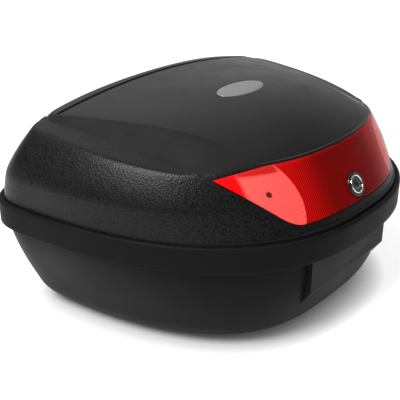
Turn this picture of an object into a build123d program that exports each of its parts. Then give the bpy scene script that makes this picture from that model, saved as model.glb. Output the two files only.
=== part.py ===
"""Motorcycle top case: tub, hinged lid with a wrap-round rear reflector, key lock and mounting plate.

Frame: +Z up, -Y to the back of the motorcycle (the lock side), +Y to the rider (the hinge side).
The origin lies on the ground under the middle of the case. All sizes are in millimetres.
"""
import os
from math import copysign, cos, pi, sin, sqrt
from build123d import *

os.makedirs("parts", exist_ok=True)

# ---- driving dimensions ------------------------------------------------------------------
case_width = 580.0          # across the widest station of the lid band
rider_reach = 115.8         # widest station to the rider side of the band
rear_reach = 339.7          # widest station to the rear of the band
plan_taper = 0.07 / 220     # the plan narrows by this share for each millimetre to the rear
hood_top = 294.0            # height of the lid's raised middle over the ground
band_bottom = 131.8         # lower edge of the lid band
band_top = 166.9            # joint between the lid band and the lid shell
band_wall = 3.0
band_edge = 2.0             # bevel along both outer edges of the band
lid_step = 6.9              # the lid shell stands this far inside the band
lid_wall = 3.0
lid_flange = 4.0            # thickness of the lid shell's foot flange and of the band's ledge
flange_reach = 24.0         # inset of the inner edge of that flange
tub_wall = 3.2
tub_inset = 6.5             # tub wall inside the band, at the sides
rear_inset = 23.0           # tub wall inside the band, behind the case
hinge_side_inset = 17.0     # tub wall inside the band on the rider side, where the hinges are
tub_top = 150.0
rim_width = 6.0
rim_depth = 10.0
bottom_round = 30.0
seal_gap = 0.3
seal_width = 5.0
lens_wall = 3.0
tray_wall = 2.0
fit_gap = 0.3
pin_radius = 3.0
running_gap = 0.05
knuckle_radius = 6.5
hinge_x = 120.0
screw_radius = 1.9
screw_gap = 0.05
head_radius = 3.8
head_height = 2.4
lock_height = 198.3
barrel_radius = 11.0
plug_radius = 7.0
latch_travel = 10.0
plate_width = 246.0
plate_length = 220.0
plate_height = 12.0
plate_y = 20.0              # middle of the mounting plate
rack_pitch_x = 140.0
rack_pitch_y = 120.0
rack_slot = 40.0
rack_slot_radius = 3.3
release_travel = 8.0

# ---- outline shared by every ring-shaped or dished piece -----------------------------------
wide_y = (rear_reach - rider_reach) / 2
outline_count = 40
rider_powers = (3.84, 3.25)
rear_powers = (2.53, 2.60)
tub_floor_powers = (3.37, 2.20)


def outline_point(turn, side, rider, rear, fullness=0.0):
    """Point of the plan outline at an angle, inset from the band by the three given amounts."""
    across = cos(turn)
    along = sin(turn)
    if along >= 0:
        power_x, power_y = rider_powers
        reach = rider_reach - rider
    else:
        power_x = rear_powers[0] + (tub_floor_powers[0] - rear_powers[0]) * fullness
        power_y = rear_powers[1] + (tub_floor_powers[1] - rear_powers[1]) * fullness
        reach = rear_reach - rear
    x = copysign(abs(across) ** (2 / power_x), across) * (case_width / 2 - side)
    y = copysign(abs(along) ** (2 / power_y), along) * reach
    return x * (1 + plan_taper * y), y + wide_y


def outline_face(height, side, rider=None, rear=None, fullness=0.0):
    """Flat face inside the outline at a height."""
    rider = side if rider is None else rider
    rear = side if rear is None else rear
    turns = [2 * pi * k / outline_count for k in range(outline_count)]
    with BuildSketch(Plane.XY.offset(height)) as section:
        with BuildLine():
            Spline(*[outline_point(turn, side, rider, rear, fullness) for turn in turns], periodic=True)
        make_face()
    return section.sketch.face()


# ---- lid surface ---------------------------------------------------------------------------
shoulder_start = 203.0      # the lid wall is upright to here
envelope_top = 302.0
rear_lean = 0.5556          # the rear face leans in by this much for each millimetre up
rear_foot = 8.7             # inset of the rear face at the band
side_round = 69.0
rider_round = 80.0
crest_y = wide_y + 34       # front edge of the hood
shoulder_height = 268.0
shoulder_drop = 25.0
hood_edge_height = 278.0
hood_edge_drop = 29.0
hood_rear_drop = 44.0
hood_half_width = 215.0
hood_narrowing = 0.30
crease_half_width = 222.0
crease_narrowing = 0.122


def envelope_insets(height):
    """Side, rider and rear inset of the lid's outer wall at a height."""
    rise = max(0.0, (height - shoulder_start) / (envelope_top - shoulder_start))
    lean = max(0.0, (height - band_top) / (envelope_top - band_top))
    side = lid_step + side_round * rise ** 1.45
    rider = lid_step + rider_round * lean ** 1.3
    rear = rear_foot + rear_lean * (height - band_top)
    return side, rider, rear


def rear_face_y(x, height):
    """Y of the lid's rear face at a place seen from behind."""
    side, _, rear = envelope_insets(height)
    run = -rear_reach
    for _ in range(10):
        spread = abs(x) / (1 + plan_taper * run) / (case_width / 2 - side)
        run = -(rear_reach - rear) * (1 - spread ** rear_powers[0]) ** (1 / rear_powers[1])
    return run + wide_y


def crease_height(y):
    """Height of the shoulder where it meets the hood."""
    run = max(0.0, crest_y - y)
    return shoulder_height - shoulder_drop * (run / 257) ** 1.5


def hood_edge(y):
    """Height of the hood's side edge."""
    run = max(0.0, wide_y - 100 - y)
    return hood_edge_height - hood_edge_drop * (run / 163) ** 2.2


def hood_middle(y):
    """Height of the hood on the centre line."""
    run = max(0.0, wide_y - 50 - y)
    return hood_top - hood_rear_drop * (run / 235) ** 2.69


def hood_section(y, depth):
    """Cross-section of the hood at a station, moved in by a depth."""
    run = crest_y - y
    foot = case_width / 2 - crease_half_width + crease_narrowing * max(run, 0.0) + depth
    edge = case_width / 2 - hood_half_width + hood_narrowing * max(run, 0.0) + depth
    crease = (case_width / 2 - foot, crease_height(y) - depth)
    rim = (case_width / 2 - edge, hood_edge(y) - depth)
    base = band_top
    with BuildSketch(Plane.XZ.offset(-y)) as section:
        with BuildLine():
            Polyline((-rim[0], rim[1]), (-crease[0], crease[1]), (-crease[0], base),
                     (crease[0], base), crease, rim)
            ThreePointArc(rim, (0, hood_middle(y) - depth), (-rim[0], rim[1]))
        make_face()
    return section.sketch.face()


def envelope(depth, base):
    """Solid inside the lid's outer wall, moved in by a depth, closed above the hood."""
    heights = [base, 185, 203, 218, 232, 246, 259, 270, 280, 291, envelope_top]
    insets = [[inset + depth for inset in envelope_insets(height)] for height in heights]
    with BuildPart() as body:
        loft(sections=[outline_face(z, *inset) for z, inset in zip(heights, insets)])
    return body.part


def lid_body(depth, base):
    """Solid inside the lid's outer surface, moved in by a depth, from a base height up."""
    stations = [wide_y + 130, crest_y, wide_y - 20, wide_y - 75, wide_y - 124, wide_y - 165,
                wide_y - 200, wide_y - 235, wide_y - 265, wide_y - 300, wide_y - 345]
    shoulder = [(y, crease_height(y) - depth) for y in stations]
    outer = envelope(depth, base)
    with BuildPart() as hood:
        loft(sections=[hood_section(y, depth) for y in stations])
    with BuildPart() as above:
        with BuildSketch(Plane.YZ):
            with BuildLine():
                Polyline(shoulder[0], (shoulder[0][0], envelope_top + 20),
                         (shoulder[-1][0], envelope_top + 20), shoulder[-1])
                Line(shoulder[0], shoulder[1])
                Spline(*shoulder[1:])
            make_face()
        extrude(amount=case_width / 2, both=True)
    with BuildPart() as body:
        add(outer)
        add(above.part, mode=Mode.SUBTRACT)
        add(outer & hood.part)
    return body.part


lid_outer = lid_body(0, band_top)
lid_inner = lid_body(lid_wall, band_top - 20)

# ---- reflector opening: its outline seen from the rear, run through the rear face -----------
lens_tip = (190.0, 243.0)
hood_corner = (126.0, 249.0)
lens_points = [(175, 231), (160, 217), (136, 192), (115, 180)]
lens_reach = 150.0


def lens_block(margin):
    """Block through the rear face inside the reflector's outline, wider by a margin."""
    lower = [(x + 0.7 * margin, z - 0.7 * margin) for x, z in lens_points]
    tip = (lens_tip[0] + 2 * margin, lens_tip[1])
    corner = (hood_corner[0], hood_corner[1] + margin)
    mirrored = [(-x, z) for x, z in lower]
    with BuildPart() as block:
        with BuildSketch(Plane.XZ.offset(rear_reach - wide_y + 20)):
            with BuildLine():
                Spline((-tip[0], tip[1]), *mirrored)
                Line(mirrored[-1], lower[-1])
                Spline(*reversed(lower), tip)
                Polyline(tip, corner, (-corner[0], corner[1]), (-tip[0], tip[1]))
            make_face()
        extrude(amount=-lens_reach)
    return block.part


lens_trim = 3.0             # the tray stays this far inside the lens outline
tray_face = lens_wall + fit_gap
pocket_depth = tray_face + tray_wall + fit_gap
cover_depth = pocket_depth + lid_wall
under = {depth: envelope(depth, band_top - 20)
         for depth in (lens_wall, tray_face, tray_face + tray_wall, pocket_depth, cover_depth)}

# ---- lock axis ------------------------------------------------------------------------------
lock_y = wide_y - rear_reach + rear_foot + rear_lean * (lock_height - band_top)
lean_length = sqrt(1 + rear_lean ** 2)
lock_plane = Plane(origin=(0, lock_y, lock_height), x_dir=(1, 0, 0),
                   z_dir=(0, -1 / lean_length, rear_lean / lean_length))
escutcheon_radius = barrel_radius + 5.5
bezel_radius = barrel_radius + 3.0
nut_radius = barrel_radius + 5.0
barrel_length = 26.0
cam_thickness = 2.5
cam_depth = barrel_length + 1.5 + cam_thickness
slider_depth = cam_depth + head_height + 0.6
slider_wall = 2.5
guide_wall = 3.0
guide_x = 56.0
guide_y = -2.0
post_radius = 5.0
boss_length = 24.0
guide_depth = slider_depth + slider_wall + fit_gap

# ---- badge seat -----------------------------------------------------------------------------
badge_y = wide_y - 124.5
badge_long = 46.0
badge_short = 21.0
badge_wall = 2.0
badge_seat = 2.6
badge_slope = (hood_middle(badge_y + 5) - hood_middle(badge_y - 5)) / 10
badge_plane = Plane(origin=(0, badge_y, hood_middle(badge_y)), x_dir=(1, 0, 0),
                    z_dir=(0, -badge_slope, 1))

# ---- screws round the lid flange ------------------------------------------------------------
flange_screw_edge = 5.5
ledge_reach = (flange_reach, flange_reach + hinge_side_inset - tub_inset - 1.5,
               flange_reach + rear_inset - tub_inset)
flange_turns = [pi * share for share in (0.08, 0.30, 0.70, 0.92, 1.08, 1.22, 1.36, 1.64, 1.78, 1.92)]
flange_spots = [outline_point(turn, *[reach - flange_screw_edge for reach in ledge_reach])
                for turn in flange_turns]
ledge_bottom = band_top - lid_flange
hinge_y = wide_y + rider_reach - knuckle_radius - 0.25
hinge_z = 122.0
foot_screw_x = 25.0
foot_screw_y = hinge_y - 6.0
foot_spots = [(side * hinge_x + step, foot_screw_y)
              for side in (-1, 1) for step in (-foot_screw_x, foot_screw_x)]
lens_screw_x = 139.0
lens_screw_z = 219.5
lens_boss_room = 20.5       # outer face of the lens to the inner end of the bosses behind it
lens_boss_y = rear_face_y(lens_screw_x, lens_screw_z) + lens_boss_room
lens_screw_length = 15.5

# ---- lid shell ------------------------------------------------------------------------------
with BuildPart() as badge_pad:
    with BuildSketch(badge_plane.offset(-badge_seat - lid_wall)):
        Ellipse(badge_long + lid_wall, badge_short + lid_wall)
    extrude(amount=badge_seat + lid_wall)
with BuildPart() as pocket_lining:
    add(lens_block(fit_gap + lid_wall))
    add(under[cover_depth], mode=Mode.SUBTRACT)
with BuildPart() as lid_foot:
    with BuildSketch(Plane.XY.offset(band_top - 40)):
        Rectangle(2 * case_width, 2 * case_width)
    extrude(amount=40 + lid_flange)
    extrude(outline_face(band_top - 40, *ledge_reach), amount=60, mode=Mode.SUBTRACT)
with BuildPart() as guide_bosses:
    with BuildSketch(lock_plane.offset(-boss_length)):
        with Locations((-guide_x, guide_y), (guide_x, guide_y)):
            Circle(post_radius)
    extrude(amount=boss_length - pocket_depth - 1)
    with BuildSketch(Plane.XZ.offset(-lens_boss_y)):
        with Locations((-lens_screw_x, lens_screw_z), (lens_screw_x, lens_screw_z)):
            Circle(post_radius)
    extrude(amount=lens_screw_length)
with BuildPart() as lid_shell:
    add(lid_outer)
    add(lid_inner - badge_pad.part - pocket_lining.part - lid_foot.part - guide_bosses.part,
        mode=Mode.SUBTRACT)
    # seats of the reflector, the lock, the badge and every screw
    add(lens_block(fit_gap) - under[pocket_depth], mode=Mode.SUBTRACT)
    with BuildSketch(lock_plane.offset(-2 * cover_depth)):
        Circle(barrel_radius + running_gap)
    extrude(amount=3 * cover_depth, mode=Mode.SUBTRACT)
    with BuildSketch(lock_plane.offset(-boss_length)):
        with Locations((-guide_x, guide_y), (guide_x, guide_y)):
            Circle(screw_radius + screw_gap)
    extrude(amount=boss_length - pocket_depth - 3, mode=Mode.SUBTRACT)
    with BuildSketch(badge_plane.offset(-badge_seat)):
        Ellipse(badge_long + fit_gap, badge_short + fit_gap)
    extrude(amount=3 * badge_seat, mode=Mode.SUBTRACT)
    with BuildSketch(Plane.XY.offset(band_top)):
        with Locations(*flange_spots, *foot_spots):
            Circle(screw_radius + screw_gap)
    extrude(amount=lid_flange - 0.6, mode=Mode.SUBTRACT)
    with BuildSketch(Plane.XZ.offset(-lens_boss_y - 5)):
        with Locations((-lens_screw_x, lens_screw_z), (lens_screw_x, lens_screw_z)):
            Circle(screw_radius + screw_gap)
    extrude(amount=40, mode=Mode.SUBTRACT)

# ---- lid band: the grained rim that carries the shell, the seal and the hinges ---------------

def outline_ring(bottom, top, outer, inner):
    """Upright ring between two outlines, each given as side, rider and rear inset."""
    with BuildPart() as ring:
        extrude(outline_face(bottom, *outer), amount=top - bottom)
        extrude(outline_face(bottom, *inner), amount=top - bottom, mode=Mode.SUBTRACT)
    return ring.part


with BuildPart() as lid_band:
    loft(sections=[outline_face(band_bottom, band_edge), outline_face(band_bottom + band_edge, 0),
                   outline_face(band_top - band_edge, 0), outline_face(band_top, band_edge)], ruled=True)
    extrude(outline_face(band_bottom - 1, band_wall), amount=ledge_bottom - band_bottom + 1,
            mode=Mode.SUBTRACT)
    extrude(outline_face(band_bottom - 1, *ledge_reach), amount=60, mode=Mode.SUBTRACT)
    with BuildSketch(Plane.XY.offset(ledge_bottom - 1)):
        with Locations(*flange_spots, *foot_spots):
            Circle(screw_radius + screw_gap)
    extrude(amount=lid_flange + 2, mode=Mode.SUBTRACT)

seal_insets = [tub_inset + 1, hinge_side_inset + 1, rear_inset + 1]
lid_seal = outline_ring(tub_top + seal_gap, ledge_bottom, seal_insets,
                        [inset + seal_width for inset in seal_insets])

with BuildPart() as band_screws:
    with BuildSketch(Plane.XY.offset(ledge_bottom)):
        with Locations(*flange_spots):
            Circle(screw_radius)
    extrude(amount=2 * lid_flange - 0.8)
    with BuildSketch(Plane.XY.offset(ledge_bottom)):
        with Locations(*flange_spots):
            Circle(head_radius)
    extrude(amount=-head_height)

# ---- reflector --------------------------------------------------------------------------------
sleeve_radius = barrel_radius + 2.7
sleeve_hole = sleeve_radius + fit_gap
post_reach = 3.2
with BuildPart() as lens_posts:
    with BuildSketch(Plane.XZ.offset(rear_reach - wide_y)):
        with Locations((-lens_screw_x, lens_screw_z), (lens_screw_x, lens_screw_z)):
            Circle(post_reach)
    extrude(amount=-lens_reach)
with BuildPart() as reflector_lens:
    add(lens_block(0) & lid_outer)
    add(under[lens_wall], mode=Mode.SUBTRACT)
    add((lens_posts.part & under[lens_wall]) - under[tray_face + tray_wall])
    with BuildSketch(lock_plane.offset(-20)):
        Circle(sleeve_hole)
    extrude(amount=40, mode=Mode.SUBTRACT)
    with BuildSketch(Plane.XZ.offset(rear_reach - wide_y - lens_reach)):
        with Locations((-lens_screw_x, lens_screw_z), (lens_screw_x, lens_screw_z)):
            Circle(screw_radius + screw_gap)
    pilot = extrude(amount=lens_reach, mode=Mode.PRIVATE)
    add(pilot & under[lens_wall], mode=Mode.SUBTRACT)

with BuildPart() as reflector_tray:
    add((lens_block(-lens_trim) & under[tray_face]) & lid_outer)
    add(under[tray_face + tray_wall], mode=Mode.SUBTRACT)
    with BuildSketch(lock_plane.offset(-20)):
        Circle(sleeve_hole)
    extrude(amount=40, mode=Mode.SUBTRACT)
    with BuildSketch(Plane.XZ.offset(rear_reach - wide_y)):
        with Locations((-lens_screw_x, lens_screw_z), (lens_screw_x, lens_screw_z)):
            Circle(post_reach + fit_gap)
    extrude(amount=-lens_reach, mode=Mode.SUBTRACT)

with BuildPart() as lens_screws:
    with BuildSketch(Plane.XZ.offset(-lens_boss_y)):
        with Locations((-lens_screw_x, lens_screw_z), (lens_screw_x, lens_screw_z)):
            Circle(screw_radius)
    extrude(amount=lens_screw_length)
    with BuildSketch(Plane.XZ.offset(-lens_boss_y)):
        with Locations((-lens_screw_x, lens_screw_z), (lens_screw_x, lens_screw_z)):
            Circle(head_radius)
    extrude(amount=-head_height)

# ---- badge ------------------------------------------------------------------------------------
with BuildPart() as badge:
    with BuildSketch(badge_plane.offset(-badge_seat)):
        Ellipse(badge_long, badge_short)
    extrude(amount=badge_wall)
    chamfer(badge.edges().group_by(Axis.Z)[-1], length=0.5)

# ---- lock: trim ring, chrome face, barrel, key plug, cam, nut ------------------------------------
ring_base = fit_gap
ring_face = ring_base + 2.0
bezel_face = ring_face + 1.5
key_slot_length = 7.0
key_slot_width = 1.6
key_slot_depth = 12.0
pin_reach = latch_travel / sqrt(2)
drive_pin_radius = 2.0
nut_start = cover_depth / lean_length + fit_gap
nut_height = 6.0


def lock_disc(radius, inner, start, stop, spots=((0, 0),)):
    """Ring or disc on the lock axis, from one distance along it to another."""
    with BuildPart() as disc:
        with BuildSketch(lock_plane.offset(start)):
            with Locations(*spots):
                Circle(radius)
                if inner:
                    Circle(inner, mode=Mode.SUBTRACT)
        extrude(amount=stop - start)
    return disc.part


bore = barrel_radius + running_gap
lock_ring = (lock_disc(escutcheon_radius, bore, ring_base, ring_face)
             + lock_disc(sleeve_radius, bore, -pocket_depth / lean_length + fit_gap, ring_base))
lock_bezel = lock_disc(bezel_radius, plug_radius + running_gap, ring_face, bezel_face)
lock_barrel = lock_disc(barrel_radius, plug_radius + running_gap, -barrel_length, ring_face)
with BuildPart() as lock_plug:
    add(lock_disc(plug_radius, 0, cam_thickness - cam_depth, bezel_face - 0.4))
    with BuildSketch(lock_plane.offset(bezel_face)):
        Rectangle(key_slot_width, key_slot_length, rotation=45)
    extrude(amount=-key_slot_depth, mode=Mode.SUBTRACT)
    add(lock_disc(screw_radius + screw_gap, 0, -cam_depth, -cam_depth + 12), mode=Mode.SUBTRACT)
lock_cam = (lock_disc(pin_reach + drive_pin_radius + 0.5, screw_radius + screw_gap,
                      -cam_depth, cam_thickness - cam_depth)
            + lock_disc(drive_pin_radius, 0, -slider_depth - slider_wall + 0.3, -cam_depth,
                        [(-latch_travel / 2, latch_travel / 2)]))
cam_screw = (lock_disc(screw_radius, 0, -cam_depth, -cam_depth + 11)
             + lock_disc(3.0, 0, -cam_depth - head_height, -cam_depth))
with BuildPart() as lock_nut:
    with BuildSketch(lock_plane.offset(-nut_start)):
        RegularPolygon(nut_radius, 6)
        Circle(bore, mode=Mode.SUBTRACT)
    extrude(amount=-nut_height)

# ---- lid latch: a sideways slider whose two hooks pass through the keeper -------------------------
def on_lock(distance, up):
    """Y and Z of a point in the lock's upright plane."""
    return (lock_y + (-distance + rear_lean * up) / lean_length,
            lock_height + (rear_lean * distance + up) / lean_length)


slider_half = 36.0
slider_up = 14.0
slider_down = 24.0
finger_inner = 20.0
finger_width = 8.0
hook_width = 18.0
hook_height = 3.5
leaf_wall = 2.0
leaf_top = tub_top - 1.0
leaf_bottom = leaf_top - leaf_wall
hook_top = leaf_bottom - 2.0
hook_bottom = hook_top - hook_height
face_top = on_lock(-slider_depth, slider_up)
face_bend = on_lock(-slider_depth, -slider_down)
back_top = on_lock(-slider_depth - slider_wall, slider_up)
back_bend = on_lock(-slider_depth - slider_wall, -slider_down)
hook_y = (face_bend[0] - 4.0, back_bend[0] + 2.5)
stud_spots = [(26.0, -8.0), (-20.0, -8.0)]
stud_radius = 2.5
with BuildPart() as latch_slider:
    with BuildSketch(Plane.YZ.offset(-slider_half)):
        with BuildLine():
            Polyline(face_top, face_bend, (face_bend[0], hook_bottom), (back_bend[0], hook_bottom),
                     back_bend, back_top, close=True)
        make_face()
    extrude(amount=2 * slider_half)
    gap = 2 * finger_inner
    waste_top = back_bend[1] + 4
    with Locations((0, back_bend[0], 0)):
        Box(gap, 60, waste_top, align=(Align.CENTER, Align.CENTER, Align.MIN), mode=Mode.SUBTRACT)
    for side in (-1, 1):
        with Locations((side * (finger_inner + finger_width + 25), back_bend[0], 0)):
            Box(50, 60, waste_top, align=(Align.CENTER, Align.CENTER, Align.MIN), mode=Mode.SUBTRACT)
    for start in (finger_inner, -finger_inner - finger_width):
        with Locations((start, hook_y[0], hook_bottom)):
            Box(hook_width, hook_y[1] - hook_y[0], hook_height, align=Align.MIN)
    with BuildSketch(lock_plane.offset(-slider_depth - 10)):
        with Locations((-latch_travel / 2, (latch_travel / 2 + pin_reach) / 2)):
            Rectangle(2 * drive_pin_radius + 1, pin_reach - latch_travel / 2 + 2 * drive_pin_radius + 1)
        for x, up in stud_spots:
            with Locations((x - latch_travel / 2, up)):
                SlotCenterToCenter(latch_travel, 2 * (stud_radius + 0.2))
    extrude(amount=20, mode=Mode.SUBTRACT)

with BuildPart() as latch_guide:
    with BuildSketch(lock_plane.offset(-guide_depth)):
        Rectangle(2 * (guide_x + 7), 2 * slider_up + 6)
    extrude(amount=-guide_wall)
    with BuildSketch(lock_plane.offset(-guide_depth)):
        with Locations((-guide_x, guide_y), (guide_x, guide_y)):
            Circle(post_radius)
    extrude(amount=guide_depth - boss_length)
    with BuildSketch(lock_plane.offset(-guide_depth)):
        with Locations(*stud_spots):
            Circle(stud_radius)
        with Locations((0, slider_up + 1.6)):
            Rectangle(2 * (slider_half + latch_travel), 2.6)
    extrude(amount=slider_wall - 0.2)
    with BuildSketch(lock_plane.offset(-guide_depth - guide_wall)):
        with Locations((-guide_x, guide_y), (guide_x, guide_y)):
            Circle(screw_radius + screw_gap)
    extrude(amount=30, mode=Mode.SUBTRACT)
guide_spots = [(-guide_x, guide_y), (guide_x, guide_y)]
guide_screws = (lock_disc(screw_radius, 0, -guide_depth - guide_wall, -boss_length + 8, guide_spots)
                + lock_disc(head_radius, 0, -guide_depth - guide_wall - head_height,
                            -guide_depth - guide_wall, guide_spots))

# ---- tub ------------------------------------------------------------------------------------------
tub_flare = 50.4
tub_flare_power = 1.27
rear_flare = 45.5
rear_flare_power = 3.08
rider_flare = 30.0
rider_flare_power = 2.5
block_half_width = 95.0
block_inset = 24.75
block_bottom = 78.0
block_chamfer = (12.6, 18.0)  # run and drop of the slope under the block
block_room = 30.0


def tub_insets(height):
    """Side, rider and rear inset of the tub's outer wall at a height, and how full its plan is."""
    fall = max(0.0, 1 - height / band_bottom)
    low = max(0.0, 1 - height / bottom_round)
    curl = bottom_round * (1 - sqrt(1 - low ** 2))
    return (tub_inset + tub_flare * fall ** tub_flare_power + curl,
            hinge_side_inset + rider_flare * fall ** rider_flare_power + curl,
            rear_inset + rear_flare * fall ** rear_flare_power + curl,
            fall)


def tub_body(depth, top):
    """Solid inside the tub's outer wall, moved in by a depth."""
    heights = [0, 3, 8, 16, 28, 42, 58, 76, 96, 114, band_bottom, top]
    with BuildPart() as body:
        sections = []
        for height in heights:
            side, rider, rear, fullness = tub_insets(height)
            level = height + depth * max(0.0, 1 - height / 60)
            sections.append(outline_face(level, side + depth, rider + depth, rear + depth, fullness))
        loft(sections=sections)
    return body.part


pod_gap = 1.8
pod_half_x = plate_width / 2 + pod_gap
pod_half_y = plate_length / 2 + pod_gap
recess_height = plate_height + 2.0
pod_top = recess_height + tub_wall
rim_insets = [inset + rim_width for inset in (tub_inset, hinge_side_inset, rear_inset)]
keeper_y = wide_y - rear_reach + rim_insets[2] + 3.8
keeper_half = 57.0
keeper_bottom = 112.0
pad_x = 46.0
pad_half = 9.0
release_x = 12.0
catch_y = plate_y - plate_length / 2 + 32.0     # rear face of the plate's catch bar
leg_wall = 6.0
leg_y = catch_y - 4.0                           # front face of the release hook's leg
tub_outer = tub_body(0, tub_top)
with BuildPart() as tub_hollow:
    add(tub_body(tub_wall, tub_top - rim_depth))
    with Locations((0, plate_y, 0)):
        Box(2 * (pod_half_x + tub_wall), 2 * (pod_half_y + tub_wall), pod_top,
            align=(Align.CENTER, Align.CENTER, Align.MIN), mode=Mode.SUBTRACT)
    with Locations((-pad_x, keeper_y - 10, keeper_bottom), (pad_x, keeper_y - 10, keeper_bottom)):
        Box(2 * pad_half, 20, tub_top - rim_depth - keeper_bottom,
            align=(Align.CENTER, Align.CENTER, Align.MIN), mode=Mode.SUBTRACT)
    extrude(outline_face(tub_top - rim_depth - 0.5, *rim_insets), amount=30)

keeper_spots = [(side * pad_x, keeper_bottom + rise) for side in (-1, 1) for rise in (6, 20)]
leaf_half = 31.0
leaf_top_z = hinge_z - 10.0
leaf_low_z = leaf_top_z - 22.0
leaf_face = hinge_y - 5.0
bolt_spots = [(side * hinge_x + step, leaf_low_z + 11) for side in (-1, 1) for step in (-8, 8)]
with BuildPart() as tub_shell:
    add(tub_outer)
    with BuildSketch(Plane.YZ.offset(-block_half_width)):
        with BuildLine():
            face_y = wide_y - rear_reach + block_inset
            low_y = face_y + block_chamfer[0]
            low_z = block_bottom - block_chamfer[1]
            Polyline((face_y + block_room, band_bottom), (face_y, band_bottom), (face_y, block_bottom),
                     (low_y, low_z), (face_y + block_room, low_z), close=True)
        make_face()
    extrude(amount=2 * block_half_width)
    add(tub_hollow.part, mode=Mode.SUBTRACT)
    with Locations((0, plate_y, 0)):
        Box(2 * pod_half_x, 2 * pod_half_y, recess_height,
            align=(Align.CENTER, Align.CENTER, Align.MIN), mode=Mode.SUBTRACT)
    with Locations((0, leg_y - (leg_wall + release_travel) / 2, 0)):
        Box(2 * release_x + 4, leg_wall + release_travel + 4, 2 * pod_top, mode=Mode.SUBTRACT)
    with BuildSketch(Plane.XZ.offset(-keeper_y)):
        with Locations(*keeper_spots):
            Circle(screw_radius + screw_gap)
    extrude(amount=6.5, mode=Mode.SUBTRACT)
    with BuildSketch(Plane.XZ.offset(-leaf_face)):
        with Locations(*bolt_spots):
            Circle(screw_radius + screw_gap)
    extrude(amount=40, mode=Mode.SUBTRACT)
    with BuildSketch(Plane.XY.offset(pod_top - 2.6)):
        with Locations((0, leg_y - 8)):
            with GridLocations(54, 56, 2, 2):
                Circle(screw_radius + screw_gap)
    extrude(amount=10, mode=Mode.SUBTRACT)

# ---- keeper -----------------------------------------------------------------------------------------
leaf_reach = 38.0
window_gap = 2.0
with BuildPart() as lid_keeper:
    with Locations((0, keeper_y, keeper_bottom)):
        Box(2 * keeper_half, leaf_wall, leaf_top - keeper_bottom,
            align=(Align.CENTER, Align.MIN, Align.MIN))
    with Locations((0, keeper_y, leaf_bottom)):
        Box(2 * keeper_half, leaf_reach, leaf_wall, align=(Align.CENTER, Align.MIN, Align.MIN))
    for start in (finger_inner, -finger_inner - finger_width):
        with Locations((start - window_gap, hook_y[0] - window_gap, leaf_bottom - 1)):
            Box(hook_width + 2 * window_gap, hook_y[1] - hook_y[0] + 2 * window_gap, 10,
                align=Align.MIN, mode=Mode.SUBTRACT)
    with BuildSketch(Plane.XZ.offset(-keeper_y - 10)):
        with Locations(*keeper_spots):
            Circle(screw_radius + screw_gap)
    extrude(amount=12, mode=Mode.SUBTRACT)
with BuildPart() as keeper_screws:
    with BuildSketch(Plane.XZ.offset(-keeper_y - leaf_wall)):
        with Locations(*keeper_spots):
            Circle(screw_radius)
    extrude(amount=8)
    with BuildSketch(Plane.XZ.offset(-keeper_y - leaf_wall)):
        with Locations(*keeper_spots):
            Circle(head_radius)
    extrude(amount=-head_height)

# ---- hinges ------------------------------------------------------------------------------------------
lid_knuckle = 17.0
knuckle_gap = 0.4
arm_wall = 3.5
arm_half = 15.0
foot_height = 3.0
hinge_plane = Plane(origin=(0, hinge_y, hinge_z), x_dir=(0, 1, 0), z_dir=(1, 0, 0))


def hinge_rod(radius, inner, start, stop):
    """Ring or rod on the hinge axis between two places along X."""
    with BuildPart() as rod:
        with BuildSketch(hinge_plane.offset(start)):
            Circle(radius)
            if inner:
                Circle(inner, mode=Mode.SUBTRACT)
        extrude(amount=stop - start)
    return rod.part


pin_bore = pin_radius + running_gap
skirt_inside = extrude(outline_face(100, band_wall + fit_gap), amount=80)
with BuildPart() as tub_hinges:
    for side in (-1, 1):
        middle = side * hinge_x
        with Locations((middle, leaf_face, leaf_low_z)):
            Box(2 * leaf_half, 14, leaf_top_z - leaf_low_z, align=(Align.CENTER, Align.MAX, Align.MIN))
        for end in (-1, 1):
            near = middle + end * (lid_knuckle + knuckle_gap)
            far = middle + end * leaf_half
            with Locations(((near + far) / 2, hinge_y, leaf_low_z + 12)):
                Box(abs(far - near), 10, hinge_z - leaf_low_z - 12,
                    align=(Align.CENTER, Align.MAX, Align.MIN))
            add(hinge_rod(knuckle_radius, 0, min(near, far), max(near, far)))
    add(tub_outer, mode=Mode.SUBTRACT)
    add(hinge_rod(pin_bore, 0, -2 * hinge_x, 2 * hinge_x), mode=Mode.SUBTRACT)
    with BuildSketch(Plane.XZ.offset(-leaf_face - 5)):
        with Locations(*bolt_spots):
            Circle(screw_radius + screw_gap)
    extrude(amount=40, mode=Mode.SUBTRACT)

with BuildPart() as lid_hinges:
    for side in (-1, 1):
        middle = side * hinge_x
        with Locations((middle, hinge_y - 2.5, hinge_z)):
            Box(2 * arm_half, arm_wall, ledge_bottom - hinge_z, align=(Align.CENTER, Align.MIN, Align.MIN))
        with Locations((middle, foot_screw_y - 4, ledge_bottom)):
            Box(2 * (foot_screw_x + 6), 12, foot_height, align=(Align.CENTER, Align.MIN, Align.MAX))
        add(hinge_rod(knuckle_radius, 0, middle - lid_knuckle, middle + lid_knuckle))
    add(hinge_rod(pin_bore, 0, -2 * hinge_x, 2 * hinge_x), mode=Mode.SUBTRACT)
    with BuildSketch(Plane.XY.offset(ledge_bottom - 10)):
        with Locations(*foot_spots):
            Circle(screw_radius + screw_gap)
    extrude(amount=20, mode=Mode.SUBTRACT)
    add(skirt_inside, mode=Mode.INTERSECT)

with BuildPart() as hinge_screws:
    with BuildSketch(Plane.XY.offset(ledge_bottom - foot_height)):
        with Locations(*foot_spots):
            Circle(screw_radius)
    extrude(amount=foot_height + 2 * lid_flange - 1)
    with BuildSketch(Plane.XY.offset(ledge_bottom - foot_height)):
        with Locations(*foot_spots):
            Circle(head_radius)
    extrude(amount=-head_height)

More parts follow.
